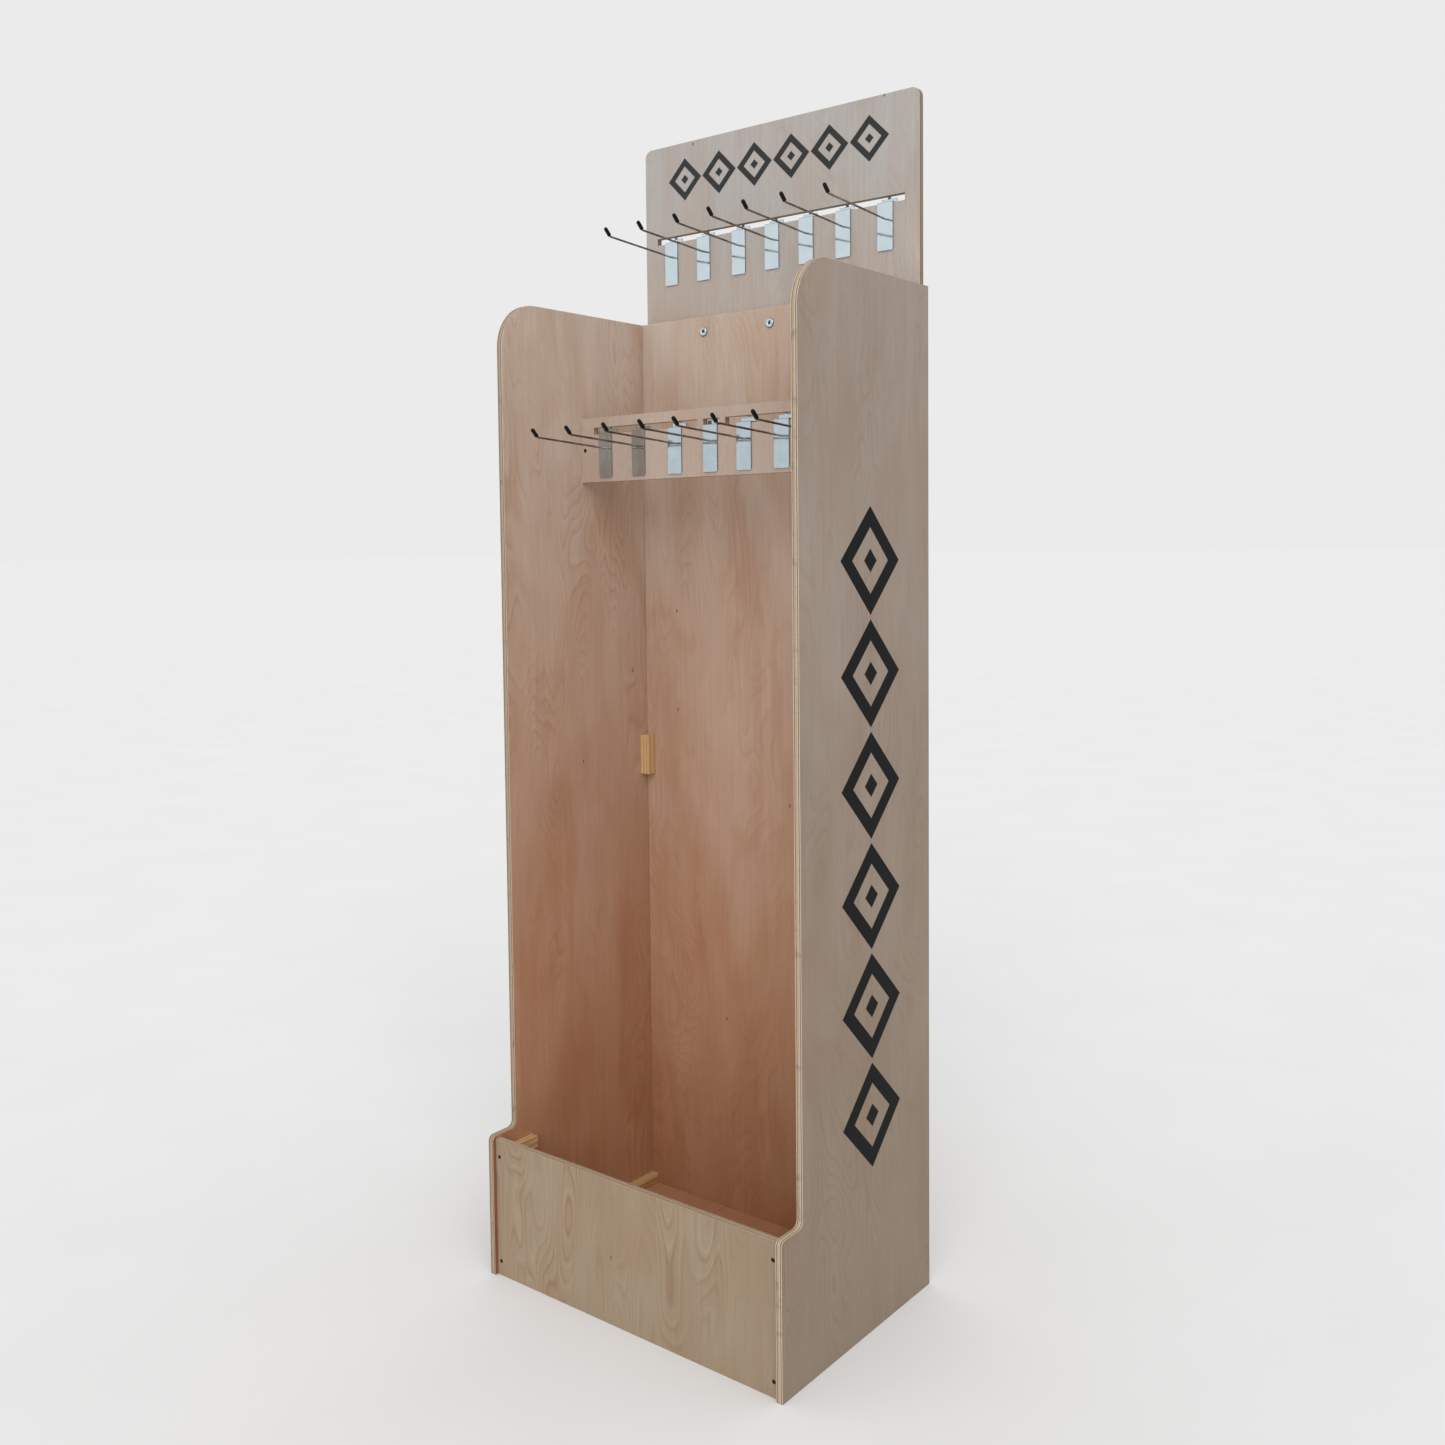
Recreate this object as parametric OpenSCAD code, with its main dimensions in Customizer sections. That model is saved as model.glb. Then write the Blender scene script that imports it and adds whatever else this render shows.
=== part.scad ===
// Free-standing plywood display stand with an open trough at the foot, a slotted hook
// rail across the bay, a bolted-on slotted header and fourteen wire display hooks.
// Millimetres. +Z is up, the open front faces -Y, and the origin is on the floor below
// the centre of the bounding box.

/* [Boards] */
// Thickness of every plywood board
board_t = 12; // [9:1:15]
// Clear width between the two side panels
inner_w = 600; // [590:5:900]
// Height of the side and back panels
side_h = 1680; // [1600:10:1900]
// Depth of the side panels above the plinth
upper_depth = 375; // [320:5:410]
// Depth of the side panels at the plinth
plinth_depth = 430; // [425:5:520]
// Height of the deeper plinth part of the side panels
plinth_h = 245; // [245:5:320]
// Radius of the side panels' top front corner
side_top_r = 80; // [20:5:150]
// Hollow radius where the upper front edge meets the plinth
step_in_r = 12; // [4:1:30]
// Round radius of the plinth's top front corner
step_out_r = 10; // [4:1:20]

/* [Trough] */
// Height of the front panel
front_h = 240; // [225:5:240]
// Distance of the front panel behind the plinth's front edges
front_set_back = 6; // [0:1:20]
// Gap between the floor and the base panel
base_lift = 3; // [0:1:20]

/* [Header] */
// Width of the header panel
header_w = 592; // [560:2:596]
// Height of the header panel
header_h = 380; // [380:5:480]
// Height of the header that is lapped behind the back panel
header_lap = 55; // [40:5:80]
// Radius of the header's top corners
header_corner_r = 15; // [5:1:40]
// Width of the header's hook slot
header_slot_w = 536; // [516:2:550]
// Height of the slot's lower edge above the header's lower edge
header_slot_rise = 201; // [180:1:240]

/* [Hook rail] */
// Height of the rail board
rail_h = 115; // [100:5:180]
// Height of the rail's lower edge above the floor
rail_z = 1377; // [1200:1:1450]
// Clear depth from the rail's front face to the back panel
rail_depth = 170; // [120:5:180]
// Width of each long rail slot
long_slot_w = 240; // [226:2:244]
// Width of the short middle slot
short_slot_w = 35; // [33:1:40]
// Width of wood left between two rail slots
slot_bridge = 12; // [8:1:20]
// Height of the slots' lower edge above the rail's lower edge
rail_slot_rise = 85; // [60:1:90]

/* [Slots] */
// Height of every hook slot
slot_h = 12; // [10:1:16]
// Corner radius of every hook slot
slot_r = 1; // [0.5:0.5:2]

/* [Hooks] */
// Width of the sheet-metal hook plate
plate_w = 30; // [24:1:32]
// Height of the hook plate
plate_h = 80; // [60:1:84]
// Thickness of the hook plate
plate_t = 2; // [1.5:0.25:2.5]
// Radius of the plate's lower corners
plate_corner_r = 3; // [1:0.5:8]
// Height of the upturned lip behind the board
lip_h = 9; // [5:0.5:9.5]
// Height of the lip's middle tooth
tooth_h = 16; // [14:0.5:20]
// Width of the lip's middle tooth
tooth_w = 5; // [3:0.5:10]
// Diameter of the prong's wire
prong_d = 3.5; // [3:0.5:5]
// Distance of the prong below the plate's top
prong_drop = 28; // [20:1:50]
// Length of the prong's straight run
prong_run = 166; // [80:1:170]
// Upward slope of the straight run, in degrees
prong_slope = 3.4; // [0:0.2:8]
// Slope of the turned-up tip, in degrees
tip_slope = 45; // [30:5:80]
// Inside-to-centre radius of the prong's bend
bend_r = 6; // [4:1:15]
// Diameter of the plastic end cap
cap_d = 6.8; // [5.6:0.2:8]
// Length of the plastic end cap
cap_l = 17; // [16:1:25]
// Depth of the wire in the end cap
cap_bore = 14; // [8:1:15]

/* [Blocks and fasteners] */
// Width of the long pine cleats
cleat_w = 15; // [12:1:20]
// Height of the pine cleats
cleat_h = 20; // [15:1:30]
// Length of a short pine block
block_l = 75; // [50:5:120]
// Width and depth of the corner blocks
corner_block_w = 20; // [15:1:30]
// Height of the corner blocks above the floor
corner_block_z = 825; // [600:5:1200]
// Height of the lower face of the front cleats
front_cleat_z = 200; // [150:5:205]
// Distance of the screws from the side panels' inner faces
screw_inset = 8.5; // [7:0.5:10]
// Shank diameter of the wood screws
screw_d = 3.5; // [3:0.5:4]
// Length of the wood screws under the countersunk head
screw_l = 28; // [24:1:30]
// Distance between two header bolts
bolt_pitch = 150; // [100:5:200]
// Shank diameter of the header bolts
bolt_d = 6; // [5:1:6]
// Diameter of the bolt and nut heads
bolt_head_d = 17; // [15:1:20]
// Thickness of the bolt and nut heads
bolt_head_h = 2.5; // [2:0.5:3]

/* [Graphics] */
// Pitch of the diamonds along the header
header_pitch = 80; // [50:2:90]
// Number of diamonds in a band
diamonds = 6; // [3:1:8]
// Stroke width of a diamond as a share of the pitch
stroke_share = 0.13; // [0.08:0.01:0.2]
// Thickness of the printed film
film_t = 0.3; // [0.2:0.1:0.5]
// Pitch of the diamonds down the side panel
side_pitch = 176; // [120:2:200]
// Distance of the side band's middle in front of the rear edge
side_band_inset = 181; // [130:1:240]
// Height of the side band's middle above the floor
side_band_z = 794; // [600:2:900]
// Height of the header band's middle above the hook slot
header_band_rise = 100; // [70:1:120]

/* [Hidden] */
$fn = 48;
depth_all = plinth_depth + board_t + bolt_head_h;
front_y = -depth_all / 2;                      // front edges of the plinth
rear_y = front_y + plinth_depth;               // rear edges of the side panels
back_y = rear_y - board_t;                     // front face of the back panel
upper_y = rear_y - upper_depth;                // front edges above the plinth
trough_y = front_y + front_set_back;           // front face of the front panel
trough_in_y = trough_y + board_t;              // its rear face
rail_y = back_y - rail_depth;                  // front face of the hook rail
half_in = inner_w / 2;
base_top = base_lift + board_t;
header_z = side_h - header_lap;                // lower edge of the header
header_slot_z = header_z + header_slot_rise;
rail_slot_z = rail_z + rail_slot_rise;
bolt_z = side_h - header_lap / 2;
long_slot_x = short_slot_w / 2 + slot_bridge + long_slot_w / 2;
slack = 0.2;                                   // gap between a hook and its board
weld_y = -slack - plate_t;                     // front face of a hook plate
plate_top = slack + plate_t;                   // top of a hook plate over its slot edge
bend_in = 0.5;                                 // inside bend radius of the plate
eps = 0.01;
wire_lap = 0.05;                               // overlap of the prong's stretches
bend_swell = 0.04;                             // extra diameter of the bent stretch
screw_head_d = 2 * screw_d;
screw_head_h = (screw_head_d - screw_d) / 2;
screw_tip = 5;                                 // length of a screw's point
screw_tip_r = 0.4;                             // radius of the point's blunt end
screw_sunk = 0.4;                              // depth of a screw head below the face
drive_w = 0.9;                                 // width and depth of the cross recess
drive_depth = 1.2;
socket_af = 5;                                 // hexagon socket of the header bolts
socket_depth = 2.2;
sleeve_wall = 1.3;                             // wall of the nuts' sleeves
bolt_play = 1;                                 // what a bolt's hole is wider by
bolt_short = 3;                                // distance of a bolt's end inside its nut's head
head_chamfer = 1;                              // chamfer round the bolt and nut heads
sleeve_short = 0.5;                            // gap between a sleeve and the back panel
film_gap = 0.04;                               // share of a diamond left between two

// Hook places along X, put by hand, so their spacing is uneven
header_hook_x = [-233.5, -157, -76, -2, 71, 147.5, 231];
rail_hook_x = [-240, -162, -79, -1.3, 69.5, 146, 223];

// ---- shared shapes ----

// Box from its lowest corner
module board(at, size) {
    translate(at) cube(size);
}

// Square corner with a quarter round taken out of its lower left
module corner_waste(r) {
    difference() {
        square(r + eps);
        circle(r);
    }
}

// Flat rectangle with four round corners, from its lower left corner
module round_rect(w, h, r) {
    translate([r, 0]) square([w - 2 * r, h]);
    translate([0, r]) square([w, h - 2 * r]);
    for (x = [r, w - r], y = [r, h - r]) translate([x, y]) circle(r, $fn = 24);
}

// Stands a flat drawing up in the XZ plane and gives it depth along +Y
module upright(depth) {
    rotate([90, 0, 0]) translate([0, 0, -depth]) linear_extrude(depth) children();
}

// Stands a flat drawing up in the YZ plane and gives it width along +X
module sideways(width) {
    rotate([90, 0, 90]) linear_extrude(width) children();
}

// Hook slot in a flat drawing, centred on x, with its lower edge at z
module slot(x, z, w) {
    translate([x - w / 2, z]) round_rect(w, slot_h, slot_r);
}

// Countersunk wood screw: head face at the origin, shank along +Y
module wood_screw() {
    rotate([-90, 0, 0]) difference() {
        rotate_extrude() screw_shape(0);
        for (turn = [0, 90]) rotate(turn)
            translate([-screw_d * 0.6, -drive_w / 2, -1])
                cube([screw_d * 1.2, drive_w, 1 + drive_depth]);
    }
}

// Half section of a screw, with its head face raised by above
module screw_shape(above) {
    polygon([
        [0, -above], [screw_head_d / 2, -above], [screw_head_d / 2, 0],
        [screw_d / 2, screw_head_h], [screw_d / 2, screw_l - screw_tip],
        [screw_tip_r, screw_l], [0, screw_l]]);
}

// Hole that a wood screw fills, open at the face it is driven from
module screw_hole() {
    rotate([-90, 0, 0]) rotate_extrude() screw_shape(1);
}

// Puts children at both sides of the stand, at a distance in from the side panels
module both_sides(inset, y, z) {
    for (s = [-1, 1]) translate([s * (half_in - inset), y, z]) children();
}

module at_front_screws() {
    for (z = [base_top + cleat_h / 2, front_cleat_z + cleat_h / 2])
        both_sides(screw_inset, trough_y + screw_sunk, z) children();
}

module at_rail_screws() {
    both_sides(screw_inset, rail_y + screw_sunk, rail_z + rail_h / 2) children();
}

// Rear screws enter from behind, so they point along -Y
module at_back_screws() {
    both_sides(screw_inset, rear_y - screw_sunk, base_top + cleat_h / 2)
        rotate([0, 0, 180]) children();
    both_sides(corner_block_w / 2, rear_y - screw_sunk, corner_block_z + block_l / 2)
        rotate([0, 0, 180]) children();
}

module at_header_bolts() {
    for (n = [-1:1]) translate([n * bolt_pitch, 0, bolt_z]) children();
}

// ---- boards ----

module side_outline() {
    difference() {
        union() {
            translate([front_y, 0]) square([plinth_depth, plinth_h]);
            translate([upper_y, 0]) square([upper_depth, side_h]);
            translate([upper_y - step_in_r, plinth_h - eps]) difference() {
                square([step_in_r, step_in_r + eps]);
                translate([0, step_in_r + eps]) circle(step_in_r);
            }
        }
        translate([front_y + step_out_r, plinth_h - step_out_r])
            mirror([1, 0]) corner_waste(step_out_r);
        translate([upper_y + side_top_r, side_h - side_top_r])
            mirror([1, 0]) corner_waste(side_top_r, $fn = 96);
    }
}

module left_side_panel() {
    color("burlywood")
        translate([-half_in - board_t, 0, 0]) sideways(board_t) side_outline();
}

module right_side_panel() {
    color("burlywood")
        translate([half_in, 0, 0]) sideways(board_t) side_outline();
}

module back_panel() {
    color("tan") difference() {
        board([-half_in, back_y, 0], [inner_w, board_t, side_h]);
        at_header_bolts() translate([0, back_y - 1, 0])
            rotate([-90, 0, 0]) cylinder(h = board_t + 2, d = bolt_d + bolt_play);
        at_back_screws() screw_hole();
    }
}

module header_panel() {
    color("wheat") difference() {
        translate([0, rear_y, 0]) upright(board_t) difference() {
            translate([-header_w / 2, header_z]) square([header_w, header_h]);
            for (m = [0, 1]) mirror([m, 0])
                translate([header_w / 2 - header_corner_r,
                    header_z + header_h - header_corner_r])
                    corner_waste(header_corner_r);
            slot(0, header_slot_z, header_slot_w);
        }
        at_header_bolts() translate([0, rear_y - 1, 0])
            rotate([-90, 0, 0])
                cylinder(h = board_t + 2, d = bolt_d + 2 * sleeve_wall + bolt_play);
    }
}

module hook_rail() {
    color("wheat") difference() {
        translate([0, rail_y, 0]) upright(board_t) difference() {
            translate([-half_in, rail_z]) square([inner_w, rail_h]);
            slot(0, rail_slot_z, short_slot_w);
            for (s = [-1, 1]) slot(s * long_slot_x, rail_slot_z, long_slot_w);
        }
        at_rail_screws() screw_hole();
    }
}

module front_panel() {
    color("tan") difference() {
        board([-half_in, trough_y, 0], [inner_w, board_t, front_h]);
        at_front_screws() screw_hole();
    }
}

module base_panel() {
    color("tan")
        board([-half_in, trough_in_y, base_lift],
            [inner_w, back_y - trough_in_y, board_t]);
}

// ---- pine blocks ----

// One block against each side panel, w wide along X
module block_pair(w, y, z, depth, height) {
    for (m = [0, 1]) mirror([m, 0, 0])
        board([half_in - w, y, z], [w, depth, height]);
}

module corner_blocks() {
    color("navajowhite") difference() {
        block_pair(corner_block_w, back_y - corner_block_w, corner_block_z,
            corner_block_w, block_l);
        at_back_screws() screw_hole();
    }
}

module base_cleats() {
    color("navajowhite") difference() {
        block_pair(cleat_w, trough_in_y, base_top, back_y - trough_in_y, cleat_h);
        at_front_screws() screw_hole();
        at_back_screws() screw_hole();
    }
}

module front_cleats() {
    color("navajowhite") difference() {
        block_pair(cleat_w, trough_in_y, front_cleat_z, block_l, cleat_h);
        at_front_screws() screw_hole();
    }
}

module rail_cleats() {
    color("navajowhite") difference() {
        block_pair(cleat_w, rail_y + board_t, rail_z + (rail_h - block_l) / 2,
            cleat_h, block_l);
        at_rail_screws() screw_hole();
    }
}

// ---- fasteners ----

module front_screws() {
    color("dimgray") at_front_screws() wood_screw();
}

module rail_screws() {
    color("dimgray") at_rail_screws() wood_screw();
}

module back_screws() {
    color("dimgray") at_back_screws() wood_screw();
}

// Furniture connector bolt: thin flat head with a hexagon socket
module header_bolts() {
    color("silver") at_header_bolts() translate([0, back_y, 0]) rotate([-90, 0, 0])
        difference() {
            rotate_extrude() polygon([
                [0, -bolt_head_h], [bolt_head_d / 2 - head_chamfer, -bolt_head_h],
                [bolt_head_d / 2, -bolt_head_h + head_chamfer], [bolt_head_d / 2, 0],
                [bolt_d / 2, 0], [bolt_d / 2, 2 * board_t - bolt_short],
                [0, 2 * board_t - bolt_short]]);
            translate([0, 0, -bolt_head_h - 1])
                cylinder(h = 1 + socket_depth, d = socket_af / cos(30), $fn = 6);
        }
}

// Sleeve nut that the bolt screws into, with a matching flat head behind
module header_cap_nuts() {
    color("silver") at_header_bolts() translate([0, rear_y, 0]) rotate([-90, 0, 0])
        rotate_extrude() polygon([
            [bolt_d / 2, sleeve_short], [bolt_d / 2 + sleeve_wall, sleeve_short],
            [bolt_d / 2 + sleeve_wall, board_t], [bolt_head_d / 2, board_t],
            [bolt_head_d / 2, board_t + bolt_head_h - head_chamfer],
            [bolt_head_d / 2 - head_chamfer, board_t + bolt_head_h],
            [0, board_t + bolt_head_h],
            [0, board_t - bolt_short], [bolt_d / 2, board_t - bolt_short]]);
}

// ---- printed films ----

// Open square on its corner with a small solid one inside it
module diamond(across, stroke) {
    side = across / sqrt(2);
    rotate(45) difference() {
        square(side, center = true);
        square(side - 2 * stroke, center = true);
    }
    rotate(45) square((side - 2 * stroke) * 0.35, center = true);
}

// Row of diamonds centred on the origin and running along X
module diamond_band(pitch) {
    for (n = [0:diamonds - 1])
        translate([(n - (diamonds - 1) / 2) * pitch, 0])
            diamond(pitch * (1 - film_gap), pitch * stroke_share);
}

module header_graphic() {
    color("black")
        translate([0, rear_y - film_t, header_slot_z + slot_h + header_band_rise])
            upright(film_t) diamond_band(header_pitch);
}

module side_graphic() {
    color("black")
        translate([half_in + board_t, rear_y - side_band_inset, side_band_z])
            sideways(film_t) rotate(90) diamond_band(side_pitch);
}

// ---- hooks: X across, Y = 0 on the board's face, Z = 0 on the slot's lower edge ----

// Sheet-metal plate, shelf and lip, drawn from the side in Y and Z
module plate_profile() {
    lip_y = board_t + slack;
    out_r = plate_t + bend_in;
    difference() {
        union() {
            translate([weld_y, plate_top - plate_h]) square([plate_t, plate_h]);
            translate([weld_y, slack]) square([lip_y + plate_t - weld_y, plate_t]);
            translate([lip_y, slack]) square([plate_t, tooth_h]);
            translate([-slack - eps, slack + eps])
                mirror([0, 1]) bend_fill(bend_in);
            translate([lip_y + eps, plate_top - eps])
                mirror([1, 0]) bend_fill(bend_in);
        }
        translate([weld_y + out_r, plate_top - out_r])
            mirror([1, 0]) corner_waste(out_r, $fn = 24);
        translate([lip_y + plate_t - out_r, slack + out_r])
            mirror([0, 1]) corner_waste(out_r, $fn = 24);
    }
}

// Small fillet in the inside of a bend, in the corner at the origin
module bend_fill(r) {
    difference() {
        square(r);
        translate([r, r]) circle(r, $fn = 24);
    }
}

// Front view of the plate: round lower corners, and a lip cut down to its tooth
module plate_front() {
    translate([-plate_w / 2, plate_top - plate_h])
        round_rect(plate_w, plate_h - 1, plate_corner_r);
    translate([-plate_w / 2, plate_top - plate_h / 2])
        square([plate_w, plate_h / 2 - plate_top + slack + lip_h]);
    translate([-tooth_w / 2, 0]) square([tooth_w, slack + tooth_h + 1]);
}

module hook_plate() {
    color("lightsteelblue") intersection() {
        translate([-plate_w / 2, 0, 0]) sideways(plate_w) plate_profile();
        translate([0, weld_y - 1, 0]) upright(board_t + 4 * plate_t) plate_front();
    }
}

// The prong runs out of the plate, round one bend and up into its cap
prong_z = plate_top - prong_drop;
function out_and_up(slope) = [0, -cos(slope), sin(slope)];
function left_of(slope) = [0, sin(slope), cos(slope)];
bend_from = [0, weld_y, prong_z] + prong_run * out_and_up(prong_slope);
bend_mid = bend_from + bend_r * left_of(prong_slope);
bend_to = bend_mid - bend_r * left_of(tip_slope);

// Lays a Z-axis shape along a slope, starting at a point
module along(from, slope) {
    translate(from) rotate([90 - slope, 0, 0]) children();
}

module hook_prong() {
    color("silver") {
        difference() {
            along([0, weld_y, prong_z] - 2 * out_and_up(prong_slope), prong_slope)
                cylinder(h = prong_run + 2 + wire_lap, d = prong_d, $fn = 24);
            board([-prong_d, weld_y, prong_z - prong_d], [2, 2, 2] * prong_d);
        }
        translate(bend_mid) rotate([0, 90, 0]) rotate(-tip_slope) prong_bend();
        along(bend_to - wire_lap * out_and_up(tip_slope), tip_slope)
            cylinder(h = cap_bore + wire_lap, d = prong_d, $fn = 24);
    }
}

module prong_bend() {
    rotate_extrude(angle = tip_slope - prong_slope)
        translate([bend_r, 0]) circle(d = prong_d + bend_swell, $fn = 24);
}

module hook_cap() {
    dome = cap_d / 2 - 0.6;
    color("black") along(bend_to, tip_slope) rotate_extrude($fn = 32)
        difference() {
            union() {
                square([cap_d / 2, cap_l - dome]);
                square([cap_d / 2 - dome, cap_l]);
                translate([cap_d / 2 - dome, cap_l - dome]) circle(dome);
            }
            square([prong_d / 2, cap_bore]);
            translate([-cap_d, -1]) square([cap_d, cap_l + 2]);
        }
}

module on_header(n) {
    translate([header_hook_x[n - 1], rear_y, header_slot_z]) children();
}

module on_rail(n) {
    translate([rail_hook_x[n - 1], rail_y, rail_slot_z]) children();
}

// ---- assembly ----

left_side_panel();
right_side_panel();
back_panel();
header_panel();
hook_rail();
front_panel();
base_panel();
corner_blocks();
base_cleats();
front_cleats();
rail_cleats();
front_screws();
rail_screws();
back_screws();
header_bolts();
header_cap_nuts();
header_graphic();
side_graphic();
for (n = [1:7]) {
    on_header(n) hook_plate();
    on_header(n) hook_prong();
    on_header(n) hook_cap();
    on_rail(n) hook_plate();
    on_rail(n) hook_prong();
    on_rail(n) hook_cap();
}
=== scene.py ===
import math

import bmesh
import bpy
from mathutils import Matrix, Vector


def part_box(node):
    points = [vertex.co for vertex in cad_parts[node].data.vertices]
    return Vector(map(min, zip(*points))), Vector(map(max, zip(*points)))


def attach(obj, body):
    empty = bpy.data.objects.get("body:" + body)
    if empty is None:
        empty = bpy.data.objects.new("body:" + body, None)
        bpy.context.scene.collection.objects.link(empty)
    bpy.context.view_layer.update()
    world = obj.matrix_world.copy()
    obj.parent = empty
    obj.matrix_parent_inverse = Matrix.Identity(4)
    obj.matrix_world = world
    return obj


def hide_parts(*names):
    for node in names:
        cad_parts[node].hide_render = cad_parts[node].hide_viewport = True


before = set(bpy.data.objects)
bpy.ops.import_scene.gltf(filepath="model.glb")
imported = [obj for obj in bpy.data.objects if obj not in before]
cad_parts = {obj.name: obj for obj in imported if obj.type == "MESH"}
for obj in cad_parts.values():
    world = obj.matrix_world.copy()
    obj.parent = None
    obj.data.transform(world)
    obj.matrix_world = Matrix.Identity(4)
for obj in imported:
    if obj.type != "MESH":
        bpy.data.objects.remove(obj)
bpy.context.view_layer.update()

# ---- Side panels ----
# Two tall boards of 12 mm tropical-hardwood plywood, sawn and routed to one outline with
# a rounded top corner and a deeper plinth. Their veneer is sanded and left unfinished,
# and the seven plies show as pale and dark lines round the edges.

board_thickness = 0.012
weld_distance = 0.00001
natural_base = 2.718

# Settings shared by many nodes
smooth = {"interpolation_type": "SMOOTHSTEP"}
mixed = {"data_type": "RGBA", "blend_type": "MIX"}
tinted = {"data_type": "RGBA", "blend_type": "MULTIPLY"}


def linear(code):
    """Turns an sRGB hex colour into the linear one that nodes take."""
    parts = [int(code[n:n + 2], 16) / 255 for n in (1, 3, 5)]
    return [v / 12.92 if v <= 0.04045 else ((v + 0.055) / 1.055) ** 2.4 for v in parts] + [1]


def feed(node, *values, **inputs):
    """Fills a node's inputs: values in their order, the others by name, _ for a space.

    Each is a plain value, an output, or a node that stands for its first output in use.
    An input that joins several takes a list.
    """
    sockets = [socket for socket in node.inputs if socket.enabled]
    named = {socket.name.replace(" ", "_"): socket for socket in reversed(sockets)}
    pairs = list(zip(sockets, values)) + [(named[key], inputs[key]) for key in inputs]
    for socket, value in pairs:
        for source in reversed(value) if socket.is_multi_input else [value]:
            if isinstance(source, bpy.types.Node):
                source = next(output for output in source.outputs if output.enabled)
            if isinstance(source, bpy.types.NodeSocket):
                node.id_data.links.new(source, socket)
            else:
                socket.default_value = source
    return node


def add(tree, kind, settings=None, *values, **inputs):
    """Adds a node with its settings and links; shader nodes go by their short names.

    A word for settings is the operation, and stops fill a colour ramp.
    """
    node = tree.nodes.new(kind if "Node" in kind else "ShaderNode" + kind)
    if isinstance(settings, str):
        settings = {"operation": settings}
    for key, value in (settings or {}).items():
        if key != "stops":
            setattr(node, key, value)
            continue
        marks = node.color_ramp.elements
        while len(marks) < len(value):
            marks.new(0.5)
        for mark, (place, code) in zip(marks, value):
            mark.position = place
            mark.color = linear(code)
    return feed(node, *values, **inputs)


def new_material(name):
    """An empty material: its tree, its Principled shader and its Object coordinates."""
    material = bpy.data.materials.new(name)
    material.use_nodes = True
    tree = material.node_tree
    return material, tree, tree.nodes["Principled BSDF"], add(tree, "TexCoord").outputs["Object"]


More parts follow.
